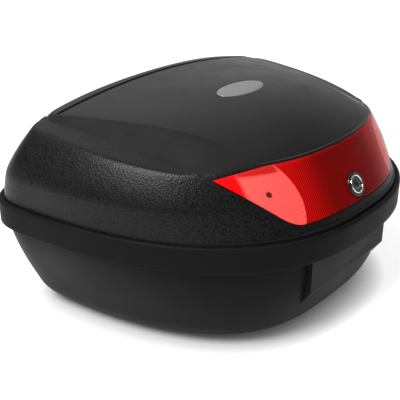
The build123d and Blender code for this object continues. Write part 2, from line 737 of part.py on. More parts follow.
nut_wall = 3.2
inner_y = wide_y + rider_reach - hinge_side_inset - tub_wall - 4.5
with BuildPart() as hinge_bolts:
    with BuildSketch(Plane.XZ.offset(-leaf_face)):
        with Locations(*bolt_spots):
            Circle(screw_radius)
    extrude(amount=leaf_face - inner_y + nut_wall + 1)
    with BuildSketch(Plane.XZ.offset(-leaf_face)):
        with Locations(*bolt_spots):
            Circle(head_radius)
    extrude(amount=-head_height)
with BuildPart() as hinge_nuts:
    with BuildSketch(Plane.XZ.offset(-inner_y)):
        with Locations(*bolt_spots):
            RegularPolygon(4.0, 6)
            Circle(screw_radius + screw_gap, mode=Mode.SUBTRACT)
    extrude(amount=nut_wall)

head_wall = 1.5
with BuildPart() as hinge_pins:
    for side in (-1, 1):
        middle = side * hinge_x
        end = leaf_half + 0.3
        add(hinge_rod(pin_radius, 0, middle - end, middle + end))
        add(hinge_rod(pin_radius + 1.5, 0, middle - end - head_wall, middle - end))
        add(hinge_rod(pin_radius + 1.5, 0, middle + end, middle + end + head_wall))

# ---- mounting plate and its release --------------------------------------------------------------------
deck_wall = 4.0
cup_half_x = 30.0
cup_half_y = 11.0
pad_radius = 12.0
pad_x_pitch = 2 * (plate_width / 2 - 26)
pad_y_pitch = 2 * (plate_length / 2 - 20)
bar_y = 12.0
bar_bottom = 6.0
with BuildPart() as mounting_plate:
    with Locations((0, plate_y, 0)):
        Box(plate_width, plate_length, plate_height, align=(Align.CENTER, Align.CENTER, Align.MIN))
    fillet(mounting_plate.edges().filter_by(Axis.Z), radius=18)
    with Locations((0, plate_y, 0)):
        with GridLocations(82, 74, 3, 3):
            Box(74, 66, plate_height - deck_wall, align=(Align.CENTER, Align.CENTER, Align.MIN),
                mode=Mode.SUBTRACT)
    with Locations((0, plate_y, 0)):
        with GridLocations(rack_pitch_x, rack_pitch_y, 2, 2):
            Box(2 * cup_half_x + 6, 2 * cup_half_y + 6, plate_height,
                align=(Align.CENTER, Align.CENTER, Align.MIN))
    with Locations((0, catch_y + bar_y / 2, 0)):
        Box(60, bar_y + 60, plate_height - deck_wall,
            align=(Align.CENTER, Align.CENTER, Align.MIN))
    with Locations((0, plate_y, deck_wall)):
        with GridLocations(rack_pitch_x, rack_pitch_y, 2, 2):
            Box(2 * cup_half_x, 2 * cup_half_y, plate_height,
                align=(Align.CENTER, Align.CENTER, Align.MIN), mode=Mode.SUBTRACT)
    with BuildSketch(Plane.XY.offset(-1)):
        with Locations((0, plate_y)):
            with GridLocations(rack_pitch_x, rack_pitch_y, 2, 2):
                SlotOverall(rack_slot, 2 * rack_slot_radius)
    extrude(amount=plate_height, mode=Mode.SUBTRACT)
    with Locations((0, catch_y, -1)):
        Box(2 * release_x + 6, 22, 2 * plate_height, align=(Align.CENTER, Align.MAX, Align.MIN),
            mode=Mode.SUBTRACT)
    with Locations((0, catch_y - 1, -1)):
        Box(2 * release_x + 6, bar_y + 4, bar_bottom + 1, align=(Align.CENTER, Align.MIN, Align.MIN),
            mode=Mode.SUBTRACT)

with BuildPart() as plate_pads:
    with BuildSketch(Plane.XY.offset(plate_height)):
        with Locations((0, plate_y)):
            with GridLocations(pad_x_pitch, pad_y_pitch, 2, 2):
                Circle(pad_radius)
    extrude(amount=recess_height - plate_height - 0.2)

carriage_half = 22.0
carriage_wall = 7.0
carriage_y = (leg_y - 26.0, leg_y + 14.0)
carriage_base = pod_top + 0.2
tab_wall = 6.0
housing_half = 33.0
housing_y = (leg_y - 44.0, leg_y + 28.0)
housing_height = 14.0
housing_wall = 2.5
with BuildPart() as release_hook:
    with Locations((0, carriage_y[0], carriage_base)):
        Box(2 * carriage_half, carriage_y[1] - carriage_y[0], carriage_wall,
            align=(Align.CENTER, Align.MIN, Align.MIN))
    with Locations((0, leg_y, 1.5)):
        Box(2 * release_x, leg_wall, carriage_base - 1.0, align=(Align.CENTER, Align.MAX, Align.MIN))
    with Locations((0, leg_y, 1.5)):
        Box(2 * release_x, 10, bar_bottom - 2.0, align=(Align.CENTER, Align.MIN, Align.MIN))
    with Locations((0, leg_y, carriage_base)):
        Box(2 * release_x, tab_wall, housing_height + 10,
            align=(Align.CENTER, Align.MAX, Align.MIN))
    fillet(release_hook.edges().group_by(Axis.Z)[-1].filter_by(Axis.X), radius=2.5)
    fillet(release_hook.edges().filter_by(Axis.Z).group_by(Axis.Y)[0], radius=3)

with BuildPart() as release_cover:
    with Locations((0, housing_y[0], pod_top)):
        Box(2 * housing_half, housing_y[1] - housing_y[0], housing_height,
            align=(Align.CENTER, Align.MIN, Align.MIN))
    fillet(release_cover.edges().filter_by(Axis.Z), radius=5)
    with Locations((0, carriage_y[0] - 12, pod_top)):
        Box(2 * (carriage_half + 0.3), carriage_y[1] - carriage_y[0] + 12.5,
            housing_height - housing_wall, align=(Align.CENTER, Align.MIN, Align.MIN),
            mode=Mode.SUBTRACT)
    with Locations((0, leg_y - (tab_wall + release_travel) / 2, pod_top)):
        Box(2 * release_x + 2, tab_wall + release_travel + 2, 60,
            align=(Align.CENTER, Align.CENTER, Align.MIN), mode=Mode.SUBTRACT)
    with BuildSketch(Plane.XY.offset(pod_top)):
        with Locations((0, leg_y - 8)):
            with GridLocations(54, 56, 2, 2):
                Circle(screw_radius + screw_gap)
    extrude(amount=30, mode=Mode.SUBTRACT)
with BuildPart() as cover_screws:
    with BuildSketch(Plane.XY.offset(pod_top + housing_height)):
        with Locations((0, leg_y - 8)):
            with GridLocations(54, 56, 2, 2):
                Circle(screw_radius)
    extrude(amount=-housing_height - 2.2)
    with BuildSketch(Plane.XY.offset(pod_top + housing_height)):
        with Locations((0, leg_y - 8)):
            with GridLocations(54, 56, 2, 2):
                Circle(head_radius)
    extrude(amount=head_height)

# two return springs behind the carriage
spring_radius = 3.2
spring_wire = 0.6
spring_x = 12.0
spring_turns = 6
spring_room = 11.6
spring_height = carriage_base + carriage_wall / 2 + 0.3
springs = []
for x in (-spring_x, spring_x):
    start = (x, carriage_y[0] - 0.2 - spring_room + spring_wire, spring_height)
    with BuildPart() as coil:
        with BuildLine() as wire_path:
            Helix((spring_room - 2 * spring_wire) / spring_turns, spring_room - 2 * spring_wire,
                  spring_radius, center=start, direction=(0, 1, 0))
        with BuildSketch(Plane(origin=wire_path.line @ 0, z_dir=wire_path.line % 0)):
            Circle(spring_wire)
        sweep(is_frenet=True)
    springs.append(coil.part)
release_springs = springs[0] + springs[1]

pieces = {
    "lid_shell": lid_shell.part, "lid_band": lid_band.part, "lid_seal": lid_seal,
    "band_screws": band_screws.part, "reflector_lens": reflector_lens.part,
    "reflector_tray": reflector_tray.part, "lens_screws": lens_screws.part, "badge": badge.part,
    "lock_ring": lock_ring, "lock_bezel": lock_bezel, "lock_barrel": lock_barrel,
    "lock_plug": lock_plug.part, "lock_cam": lock_cam, "cam_screw": cam_screw,
    "lock_nut": lock_nut.part, "latch_slider": latch_slider.part, "latch_guide": latch_guide.part,
    "guide_screws": guide_screws, "tub_shell": tub_shell.part, "lid_keeper": lid_keeper.part,
    "keeper_screws": keeper_screws.part, "tub_hinges": tub_hinges.part,
    "lid_hinges": lid_hinges.part, "hinge_screws": hinge_screws.part,
    "hinge_bolts": hinge_bolts.part, "hinge_nuts": hinge_nuts.part, "hinge_pins": hinge_pins.part,
    "mounting_plate": mounting_plate.part, "plate_pads": plate_pads.part,
    "release_hook": release_hook.part, "release_cover": release_cover.part,
    "cover_screws": cover_screws.part, "release_springs": release_springs,
}
for name, piece in pieces.items():
    piece.label = name
    export_step(piece, f"parts/{name}.step")
    print(name, len(piece.solids()), round(piece.volume))
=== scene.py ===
"""The looks of a motorcycle top case, round its CAD frame. Sizes are in millimetres, meshes in metres."""
from math import pi, radians

import bpy
import numpy as np
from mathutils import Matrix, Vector


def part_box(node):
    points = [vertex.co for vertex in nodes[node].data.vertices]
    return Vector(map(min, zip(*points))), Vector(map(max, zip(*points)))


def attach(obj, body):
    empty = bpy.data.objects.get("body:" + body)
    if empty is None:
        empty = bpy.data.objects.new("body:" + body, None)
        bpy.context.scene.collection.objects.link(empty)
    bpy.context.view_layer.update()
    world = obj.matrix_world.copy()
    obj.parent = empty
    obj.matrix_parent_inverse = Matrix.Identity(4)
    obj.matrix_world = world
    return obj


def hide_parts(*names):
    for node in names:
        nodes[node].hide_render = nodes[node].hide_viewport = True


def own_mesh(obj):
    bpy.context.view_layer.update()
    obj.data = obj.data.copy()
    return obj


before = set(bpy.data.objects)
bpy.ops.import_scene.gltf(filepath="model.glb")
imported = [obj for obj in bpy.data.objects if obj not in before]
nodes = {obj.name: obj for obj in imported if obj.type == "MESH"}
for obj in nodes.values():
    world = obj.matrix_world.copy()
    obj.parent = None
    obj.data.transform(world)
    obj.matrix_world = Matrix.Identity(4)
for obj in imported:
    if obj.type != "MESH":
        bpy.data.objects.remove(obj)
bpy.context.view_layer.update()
MM = 0.001

# ---- Lid band ------------------------------------------------------------------------------------
# The skirt that runs right round the case where the lid closes over the tub. It is injection-moulded
# black polypropylene with a fine matt texture, rolled at its lower edge and grooved along the top.
band_low, band_high = (np.array(corner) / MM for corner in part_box("lid_band"))
half_width = 290.0
rider_reach = 115.8
rear_reach = 339.7
plan_taper = 0.07 / 220
# how square the plan's corners are, across and along the case
rider_powers = (3.84, 3.25)
rear_powers = (2.53, 2.60)
wide_y = band_high[1] - rider_reach
band_bottom = band_low[2]
band_top = band_high[2]
ring_count = 420


def outline(turns, side, rider=None, rear=None):
    """Points of the plan outline at the given angles, moved in at the sides, the rider end and the rear."""
    rider = side if rider is None else rider
    rear = side if rear is None else rear
    across, along = np.cos(turns), np.sin(turns)
    front = along >= 0
    power_x = np.where(front, rider_powers[0], rear_powers[0])
    power_y = np.where(front, rider_powers[1], rear_powers[1])
    reach = np.where(front, rider_reach - rider, rear_reach - rear)
    x = np.sign(across) * np.abs(across) ** (2 / power_x) * (half_width - side)
    y = np.sign(along) * np.abs(along) ** (2 / power_y) * reach
    return np.stack([x * (1 + plan_taper * y), y + wide_y], axis=-1)


def even_turns(count):
    """Angles that space the outline's points evenly along it."""
    fine = np.linspace(0, 2 * pi, 8001)
    steps = np.linalg.norm(np.diff(outline(fine, 0), axis=0), axis=1)
    length = np.concatenate([[0], np.cumsum(steps)])
    return np.interp(np.linspace(0, length[-1], count, endpoint=False), length, fine)


def make_piece(name, points, faces):
    """New mesh object from points in millimetres."""
    mesh = bpy.data.meshes.new(name)
    corners = (np.asarray(points) * MM).tolist()
    mesh.from_pydata(corners, [], [list(map(int, face)) for face in faces])
    mesh.validate()
    piece = bpy.data.objects.new(name, mesh)
    bpy.context.scene.collection.objects.link(piece)
    return piece


def round_faces(rows, count, start=0, closed=True):
    """Quads between neighbouring rings of a stack, joined last to first where the section is closed."""
    faces = []
    for row in range(rows if closed else rows - 1):
        a, b = start + row * count, start + (row + 1) % rows * count
        faces += [(a + k, a + (k + 1) % count, b + (k + 1) % count, b + k) for k in range(count)]
    return faces


def end_caps(rows, count):
    """Faces that close the first and the last ring of a stack."""
    return [tuple(range(count))[::-1], tuple(range((rows - 1) * count, rows * count))]


def smooth(piece, angle=30):
    """Smooth shading with crisp edges where faces meet at more than the angle."""
    piece.data.shade_smooth()
    piece.data.set_sharp_from_angle(angle=radians(angle))


def settle(piece):
    """Applies a piece's modifiers to its mesh."""
    shape = bpy.data.meshes.new_from_object(piece.evaluated_get(bpy.context.evaluated_depsgraph_get()))
    piece.modifiers.clear()
    piece.data = shape


def face_outward(piece):
    """Turns the faces of a closed mesh outward."""
    bpy.context.view_layer.objects.active = piece
    piece.select_set(True)
    bpy.ops.object.mode_set(mode="EDIT")
    bpy.ops.mesh.select_all(action="SELECT")
    bpy.ops.mesh.normals_make_consistent(inside=False)
    bpy.ops.object.mode_set(mode="OBJECT")
    piece.select_set(False)


def swept_ring(name, section):
    """Ring that follows the outline: the section lists (side, rider, rear inset, height)."""
    turns = even_turns(ring_count)
    points = []
    for side, rider, rear, height in section:
        plan = outline(turns, side, rider, rear)
        points.append(np.column_stack([plan, np.full(ring_count, height)]))
    ring = make_piece(name, np.concatenate(points), round_faces(len(section), ring_count))
    face_outward(ring)
    smooth(ring)
    return ring


def finish(name, colour, roughness, metallic=0.0, specular=0.5):
    """New material with one shader; each section adds the surface detail of its own piece."""
    material = bpy.data.materials.new(name)
    material.use_nodes = True
    shader = material.node_tree.nodes["Principled BSDF"]
    shader.inputs["Base Color"].default_value = (*colour, 1)
    shader.inputs["Roughness"].default_value = roughness
    shader.inputs["Metallic"].default_value = metallic
    shader.inputs["Specular IOR Level"].default_value = specular
    return material


def add_node(material, kind, links=(), **settings):
    """New node: links are (input, socket to read), settings are inputs or properties of the node."""
    node = material.node_tree.nodes.new(kind)
    for key, value in settings.items():
        if key in node.inputs:
            node.inputs[key].default_value = value
        else:
            setattr(node, key, value)
    for socket, source in links:
        material.node_tree.links.new(source, node.inputs[socket])
    return node


def place_of(material):
    """Position on the piece, in metres, for every pattern."""
    found = material.node_tree.nodes.get("Place")
    return (found or add_node(material, "ShaderNodeTexCoord", name="Place")).outputs["Object"]


def pebble(material, cell, depth, share=0.6):
    """Moulded leather grain: rounded pebbles of a cell size over a finer ripple, as bump."""
    place = place_of(material)
    warp = add_node(material, "ShaderNodeTexNoise", [("Vector", place)], Scale=0.6 / (cell * MM), Detail=2.0)
    shift = add_node(material, "ShaderNodeVectorMath", [(0, warp.outputs["Color"])], operation="SCALE")
    shift.inputs["Scale"].default_value = cell * MM * 0.9
    moved = add_node(material, "ShaderNodeVectorMath", [(0, place), (1, shift.outputs[0])], operation="ADD")
    cells = add_node(material, "ShaderNodeTexVoronoi", [("Vector", moved.outputs[0])],
                     feature="SMOOTH_F1", Scale=1 / (cell * MM), Smoothness=0.35)
    fine = add_node(material, "ShaderNodeTexNoise", [("Vector", place)], Scale=2.6 / (cell * MM), Detail=3.0)
    mixed = add_node(material, "ShaderNodeMix",
                     [("A", cells.outputs["Distance"]), ("B", fine.outputs["Fac"])], Factor=1 - share)
    bump = add_node(material, "ShaderNodeBump", [("Height", mixed.outputs["Result"])],
                    Strength=1.0, Distance=depth * MM)
    material.node_tree.links.new(bump.outputs["Normal"],
                                 material.node_tree.nodes["Principled BSDF"].inputs["Normal"])
    return mixed.outputs["Result"]


def vary(material, colours, roughness, size, source=None):
    """Slow unevenness of colour and sheen: two colours and two roughness values over patches of a size."""
    place = place_of(material)
    noise = add_node(material, "ShaderNodeTexNoise", [("Vector", place)], Scale=1 / (size * MM), Detail=5.0,
                     Roughness=0.6)
    spread = (0.3, 0.7)
    ramp = add_node(material, "ShaderNodeValToRGB", [("Fac", source or noise.outputs["Fac"])])
    for stop, position, colour in zip(ramp.color_ramp.elements, spread, colours):
        stop.position = position
        stop.color = (*colour, 1)
    sheen = add_node(material, "ShaderNodeMapRange", [("Value", noise.outputs["Fac"])])
    for key, value in zip(("From Min", "From Max", "To Min", "To Max"), (*spread, *roughness)):
        sheen.inputs[key].default_value = value
    shader = material.node_tree.nodes["Principled BSDF"]
    material.node_tree.links.new(ramp.outputs["Color"], shader.inputs["Base Color"])
    material.node_tree.links.new(sheen.outputs["Result"], shader.inputs["Roughness"])


def black(level):
    """Neutral near-black, a shade warmer than grey."""
    return (level, level * 0.98, level * 0.95)


def band_plastic():
    """Matt moulded black with a fine even texture."""
    material = finish("band_plastic", black(0.006), 0.55, specular=0.06)
    pebble(material, 2.0, 0.22)
    vary(material, (black(0.005), black(0.008)), (0.50, 0.62), 60)
    return material


ledge_side = 24.0
ledge_rider = 33.0
lid_step = 6.9
skirt_wall = 3.0
ledge_under = band_top - 4.0
roll = 2.4
groove_bottom = band_top - 1.8
band_section = [(roll * (1 - np.sin(a)), band_bottom + roll * (1 - np.cos(a)))
                for a in np.linspace(0, pi / 2, 6)]
band_section += [(0, band_bottom + 12), (0, band_top - 8), (0, band_top - 3.0), (0.3, band_top - 1.6),
                 (1.1, band_top - 0.5), (2.2, band_top), (4.9, band_top), (5.2, groove_bottom),
                 (6.6, groove_bottom), (lid_step, band_top)]
band_ring = [(inset, inset, inset, z) for inset, z in band_section]
band_ring += [(ledge_side, ledge_rider, ledge_side, z) for z in (band_top, ledge_under)]
band_ring += [(skirt_wall, skirt_wall, skirt_wall, z) for z in (ledge_under, band_bottom + 0.6)]
band = swept_ring("lid_skirt", band_ring)
band.data.materials.append(band_plastic())
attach(band, "lid")
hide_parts("lid_band")

# ---- Lid shell -----------------------------------------------------------------------------------
# The domed lid, one moulding in two textures: a coarse pebble on its walls and shoulders, and a fine
# satin on the raised middle. It stands on the band's ledge, which ten screws hold it to from below.
lid_foot = band_top
upright_top = 203.0
crown_room = 99.0
rear_foot = 8.7
rear_lean = 0.5556
# how far the sides and the rider end lean in by the top, and the power they lean with
side_lean = (69.0, 1.45)
rider_lean = (80.0, 1.3)
lid_wall = 3.0
front_round = 5.0
rear_round = 1.6
shoulder_round = 7.0
hood_top = np.array(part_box("lid_shell")[1])[2] / MM
hood_front = 34.0
hood_edge_half = 215.0
edge_taper = 0.30
crease_half = 222.0
crease_taper = 0.122
corner_start = 14.0
corner_length = 34.0
corner_depth = 22.0
# heights on the hood: level first, then a drop over a length towards the rear, with a power
crease_top = 268.0
crease_drop = (25.0, 257.0, 1.5)
edge_top = 278.0
edge_level_end = -100.0
edge_ahead = 4.5
edge_drop = (29.0, 163.0, 2.2)
middle_level_end = -50.0
middle_drop = (44.0, 235.0, 2.69)
least_rise = 0.4
edge_blend = 1.4
lip_start = 20.0
lip_length = 3.0
lip_height = 0.4
groove_depth = 2.6
groove_half = 2.0
groove_power = 2.4
groove_fade = 5.0
shoulder_fall = 0.10
shoulder_end_round = 1.0
rim_clearance = 3.0
# the wall's height and the hood's ends are found by halving a range this many times
halvings = 46
lowest = lid_foot - 60.0
highest = 420.0


def wall_insets(z):
    """Side, rider and rear inset of the lid's outer wall at a height."""
    rise = np.maximum(0, (z - upright_top) / crown_room)
    lean = np.maximum(0, (z - lid_foot) / (upright_top + crown_room - lid_foot))
    return (lid_step + side_lean[0] * rise ** side_lean[1], lid_step + rider_lean[0] * lean ** rider_lean[1],
            rear_foot + rear_lean * (z - lid_foot))


def wall_height(x, y):
    """Height at which the leaning outer wall passes over a plan point."""
    low, high = np.full(x.shape, lowest), np.full(x.shape, highest)
    run = y - wide_y
    spread = x / (1 + plan_taper * run)
    front = run >= 0
    for _ in range(halvings):
        z = (low + high) / 2
        side, rider, rear = wall_insets(z)
        reach = np.maximum(1.0, np.where(front, rider_reach - rider, rear_reach - rear))
        half = np.maximum(1.0, half_width - side)
        outside = (np.abs(spread / half) ** np.where(front, rider_powers[0], rear_powers[0])
                   + np.abs(run / reach) ** np.where(front, rider_powers[1], rear_powers[1])) > 1
        high = np.where(outside, z, high)
        low = np.where(outside, low, z)
    return (low + high) / 2


def soft_low(a, b, blend):
    """The lower of two heights, rounded where they cross."""
    share = np.clip(0.5 + 0.5 * (b - a) / blend, 0, 1)
    return b * (1 - share) + a * share - blend * share * (1 - share)


def corner_x(run):
    """How far the hood's front corners are rounded in."""
    return corner_depth * np.clip((run - corner_start) / corner_length, 0, 2) ** 2


def crease_x(run):
    """Half width of the hood's foot, from the distance in front of the widest station."""
    return crease_half - crease_taper * np.maximum(0, hood_front - run) - corner_x(run)


def edge_x(run):
    """Half width of the hood's upper edge."""
    return hood_edge_half - edge_taper * np.maximum(0, hood_front - run) - corner_x(run)


def dropped(behind, drop):
    """How far a line on the hood has dropped at a distance behind its level part."""
    return drop[0] * (np.maximum(0, behind) / drop[1]) ** drop[2]


def crease_z(run):
    """Height of the shoulder along the hood's foot."""
    return crease_top - dropped(hood_front - run, crease_drop)


def edge_z(run):
    """Height of the hood's upper edge."""
    ahead = edge_ahead * np.clip((run - edge_level_end) / (hood_front - edge_level_end), 0, 1.3) ** 2
    return edge_top - ahead - dropped(edge_level_end - run, edge_drop)


def middle_z(run):
    """Height of the hood on the centre line."""
    return hood_top - dropped(middle_level_end - run, middle_drop)


def hood_height(x, run):
    """Height of the raised middle: a crowned top, a steep side facet, and a lip across the front."""
    width, rim, rise = edge_x(run), edge_z(run), np.maximum(least_rise, middle_z(run) - edge_z(run))
    radius = (width ** 2 + rise ** 2) / (2 * rise)
    reach = np.minimum(np.abs(x), width + 12)
    top = rim + rise - (radius - np.sqrt(radius ** 2 - reach ** 2))
    ends = np.clip((width - 1 - np.abs(x)) / groove_fade, 0, 1)
    groove = -groove_depth * np.exp(-np.abs((run - lip_start) / groove_half) ** groove_power)
    lip = lip_height * np.clip((run - lip_start) / lip_length, 0, 1)
    top = top + (groove + lip) * ends ** 0.7
    slope = (rim - crease_z(run)) / (crease_x(run) - width)
    facet = rim + (width - np.abs(x)) * slope
    return soft_low(top, facet, edge_blend)


def meeting_run(across, near, far):
    """Where along the case a column of the hood runs out through the outer wall."""
    for _ in range(halvings):
        run = (near + far) / 2
        x = column_x(across, run)
        inside = wall_height(x, run + wide_y) > hood_height(x, run)
        near = np.where(inside, run, near)
        far = np.where(inside, far, run)
    return (near + far) / 2


def column_x(across, run):
    """Sideways place of a hood column: up to 1 is the crowned top, from 1 to 2 is the facet."""
    size = np.abs(across)
    inner = np.minimum(size, 1) * edge_x(run)
    outer = np.maximum(size - 1, 0) * (crease_x(run) - edge_x(run))
    return np.sign(across) * (inner + outer)


# the hood's columns, closer together at its edge and down its facet, and its rows, from where it runs out
# through the outer wall behind to where it does so in front, closest together at the lip
half_columns = np.concatenate([np.linspace(0, 0.93, 20), [0.955, 0.972, 0.984, 0.992, 1.0],
                               1 + np.array([0.05, 0.12, 0.22, 0.36, 0.52, 0.68, 0.82, 0.93, 1.0])])
columns = np.concatenate([-half_columns[:0:-1], half_columns])
rear_run = meeting_run(columns, np.full(columns.shape, -150.0), np.full(columns.shape, -330.0))
front_run = meeting_run(columns, np.full(columns.shape, 26.0), np.full(columns.shape, 96.0))
tail = 1 - (1 - np.linspace(0, 1, 60)) ** 1.25
level_runs = np.concatenate([np.linspace(2, 14, 5), np.linspace(16, 24, 21), [25.0, 26.0]])
rows = [rear_run + (level_runs[0] - rear_run) * share for share in tail[:-1]]
rows += [np.full(columns.shape, run) for run in level_runs]
rows += [level_runs[-1] + (front_run - level_runs[-1]) * share for share in np.linspace(0, 1, 7)[1:]]
rows = np.array(rows)
hood_x = column_x(columns[None, :], rows)
blend = rear_round + (front_round - rear_round) * np.clip((rows + 150) / 150, 0, 1)
outer_wall = wall_height(hood_x, rows + wide_y)
hood_z = soft_low(outer_wall, hood_height(hood_x, rows), blend)
row_count, column_count = rows.shape
hood_points = np.stack([hood_x, rows + wide_y, hood_z], axis=-1).reshape(-1, 3)
index = np.arange(row_count * column_count).reshape(row_count, column_count)
hood_faces = [(index[r, c], index[r, c + 1], index[r + 1, c + 1], index[r + 1, c])
              for r in range(row_count - 1) for c in range(column_count - 1)]
# the hood's border, anticlockwise from its rear left corner, and how much of each point is a side's
border = np.concatenate([index[0, :], index[1:, -1], index[-1, -2::-1], index[-2:0:-1, 0]])
side_border = np.zeros(len(border))
side_border[column_count - 1:column_count + row_count - 2] = 1
side_border[2 * column_count + row_count - 3:] = 1
side_border[0] = 1
soften = np.ones(9) / 9
padded_sides = np.concatenate([side_border[-4:], side_border, side_border[:4]])
side_share = np.minimum(side_border, np.convolve(padded_sides, soften, mode="valid") * 2 - 1).clip(0, 1)
rim_points = hood_points[border]
fine_turns = np.linspace(0, 2 * pi, 6001)
foot_plan = outline(fine_turns, lid_step, lid_step, rear_foot)


def bearing(plan):
    """Angle of plan points about the middle of their own loop, with both half lengths taken as one."""
    low, high = plan.min(axis=0), plan.max(axis=0)
    scaled = (plan - (low + high) / 2) / (high - low)
    return np.unwrap(np.arctan2(scaled[:, 1], scaled[:, 0]))


# the outer wall: upright rings from the foot, then rings that close in over the shoulders to the hood
foot_bearing = bearing(foot_plan)
rim_bearing = bearing(rim_points[:, :2])
rim_bearing += 2 * pi * np.round((foot_bearing.mean() - rim_bearing.mean()) / (2 * pi))
wrapped = (rim_bearing - foot_bearing[0]) % (2 * pi) + foot_bearing[0]
rim_turns = np.interp(wrapped, foot_bearing, fine_turns)
layers = []
for z in [lid_foot - 0.01, lid_foot + 0.8, lid_foot + 4, 178, 187, 196, upright_top]:
    side, rider, rear = wall_insets(np.float64(z))
    layers.append(np.column_stack([outline(rim_turns, side, rider, rear), np.full(len(border), z)]))
top_of_wall = layers[-1]
for share in np.linspace(0, 1, 27)[1:-1] ** 1.7:
    plan = top_of_wall[:, :2] + (rim_points[:, :2] - top_of_wall[:, :2]) * share
    run = plan[:, 1] - wide_y
    slope_down = shoulder_fall * np.maximum(0, np.abs(plan[:, 0]) - crease_x(run))
    over_rim = rim_points[:, 2] + rim_clearance
    shoulder = side_share * (crease_z(run) - slope_down) + (1 - side_share) * over_rim
    wall = wall_height(plan[:, 0], plan[:, 1])
    rounding = shoulder_round * (1 - share) + shoulder_end_round
    layers.append(np.column_stack([plan, soft_low(wall, shoulder, rounding)]))
wall_points = np.concatenate(layers)
start = len(hood_points)
wall_faces = round_faces(len(layers), len(border), start, closed=False)
last = start + (len(layers) - 1) * len(border)
count = len(border)
wall_faces += [(last + k, last + (k + 1) % count, border[(k + 1) % count], border[k]) for k in range(count)]
lid = make_piece("lid_moulding", np.concatenate([hood_points, wall_points]), hood_faces + wall_faces)
for face in lid.data.polygons[len(hood_faces):]:
    face.material_index = 1


def hood_plastic():
    """Fine satin texture of the raised middle."""
    material = finish("hood_satin", black(0.006), 0.36, specular=0.20)
    pebble(material, 1.3, 0.08, share=0.5)
    vary(material, (black(0.005), black(0.008)), (0.32, 0.42), 45)
    return material


def wall_plastic():
    """Coarse pebble grain of the walls and shoulders, with a painted highlight that makes the tops of the
    pebbles paler.
    """
    material = finish("pebble_black", black(0.007), 0.36, specular=0.17)
    grain = pebble(material, 2.4, 0.36, share=0.75)
    # painted highlight and shade: the colour follows the grain, paler on the pebble tops and darker between
    # them
    vary(material, (black(0.009), black(0.002)), (0.32, 0.42), 50, source=grain)
    return material


lens_tip = 185.0
lens_line = (190.0, 243.0)
lens_slope = 0.93
lens_foot = 179.5
lens_corner = 12.0
lens_top = 249.0
lens_drop = (10.0, 126.0, 1.6)
# each tip is cut off short of its point, and every column keeps this least height
tip_cut = 0.4
least_column = 0.3
# the rear wall is found from a first guess by going round this many times
first_run = -240.0
wall_rounds = 12


def wall_y(x, z, depth=0.0):
    """Y of the rear wall at a place seen from behind, moved in by a depth."""
    side, _, rear = wall_insets(z)
    run = np.full(np.shape(x), first_run)
    for _ in range(wall_rounds):
        spread = np.abs(x) / (1 + plan_taper * run) / (half_width - side - depth)
        share = (1 - np.minimum(spread, 0.999) ** rear_powers[0]) ** (1 / rear_powers[1])
        run = -(rear_reach - rear - depth) * share
    return run + wide_y


def lens_lower(x):
    """Lower edge of the reflector: level in the middle, then straight up to each tip."""
    line = lens_line[1] - lens_slope * (lens_line[0] - np.abs(x))
    return -soft_low(np.full(np.shape(x), -lens_foot), -line, lens_corner)


def lens_upper(x):
    """Upper edge of the reflector, along the end of the hood and down to each tip."""
    depth, start, power = lens_drop
    return lens_top - depth * (np.maximum(0, np.abs(x) - start) / (lens_tip - start)) ** power


def lens_block(name, margin, front, back, edge_round=0.0):
    """Closed piece with the reflector's outline, between two depths inside the rear wall."""
    reach = lens_tip - tip_cut + margin * 1.6
    across = reach * np.sin(np.linspace(-pi / 2, pi / 2, 221))
    across = np.sign(across) * reach * (np.abs(across) / reach) ** 1.15
    low = np.minimum(lens_lower(across * lens_tip / reach) - margin, lens_upper(across) - least_column)
    high = lens_upper(across) + margin * 0.8
    share = np.array([0, 0.012, 0.03, 0.055, 0.09, 0.14, 0.21, 0.3, 0.4, 0.5, 0.6, 0.7, 0.79, 0.86, 0.91,
                      0.945, 0.97, 0.988, 1])
    x = np.broadcast_to(across[None, :], (len(share), len(across)))
    z = low + (high - low) * share[:, None]
    to_edge = np.minimum(z - low, high - z) * 0.8
    curl = 1 - np.sqrt(1 - (1 - np.minimum(to_edge / max(edge_round, 0.01), 1)) ** 2)
    face = np.stack([x, wall_y(x, z, front + edge_round * curl), z], axis=-1)
    rear = np.stack([x, wall_y(x, z, back), z], axis=-1)
    rows, count = x.shape
    grid = np.arange(rows * count).reshape(rows, count)
    faces = []
    for r in range(rows - 1):
        for c in range(count - 1):
            quad = (grid[r, c], grid[r, c + 1], grid[r + 1, c + 1], grid[r + 1, c])
            faces += [quad, tuple(k + rows * count for k in quad[::-1])]
    loop = np.concatenate([grid[0, :], grid[1:, -1], grid[-1, -2::-1], grid[-2:0:-1, 0]])
    for k, corner in enumerate(loop):
        other = loop[(k + 1) % len(loop)]
        faces.append((other, corner, corner + rows * count, other + rows * count))
    block = make_piece(name, np.concatenate([face.reshape(-1, 3), rear.reshape(-1, 3)]), faces)
    face_outward(block)
    return block


def cut(piece, tool):
    """Cuts one closed mesh out of another."""
    boolean = piece.modifiers.new("cut", "BOOLEAN")
    boolean.operation = "DIFFERENCE"
    boolean.solver = "EXACT"
    boolean.object = tool
    settle(piece)


def drop(*pieces):
    """Removes meshes that only served as tools."""
    for piece in pieces:
        bpy.data.objects.remove(piece)


def join(target, *others):
    """Makes separate meshes one piece."""
    for other in others:
        other.data.materials.clear()
        for material in target.data.materials:
            other.data.materials.append(material)
    with bpy.context.temp_override(active_object=target, selected_editable_objects=[target, *others]):
        bpy.ops.object.join()


pocket_depth = 5.6
cover_depth = pocket_depth + lid_wall
badge_run = -124.5
badge_y = wide_y + badge_run
badge_z = float(middle_z(np.float64(badge_run)))
badge_tilt = float(middle_z(np.float64(badge_run + 5)) - middle_z(np.float64(badge_run - 5))) / 10
badge_long = 46.0
badge_short = 21.0
badge_crown = 0.35
crown_step = 8.0


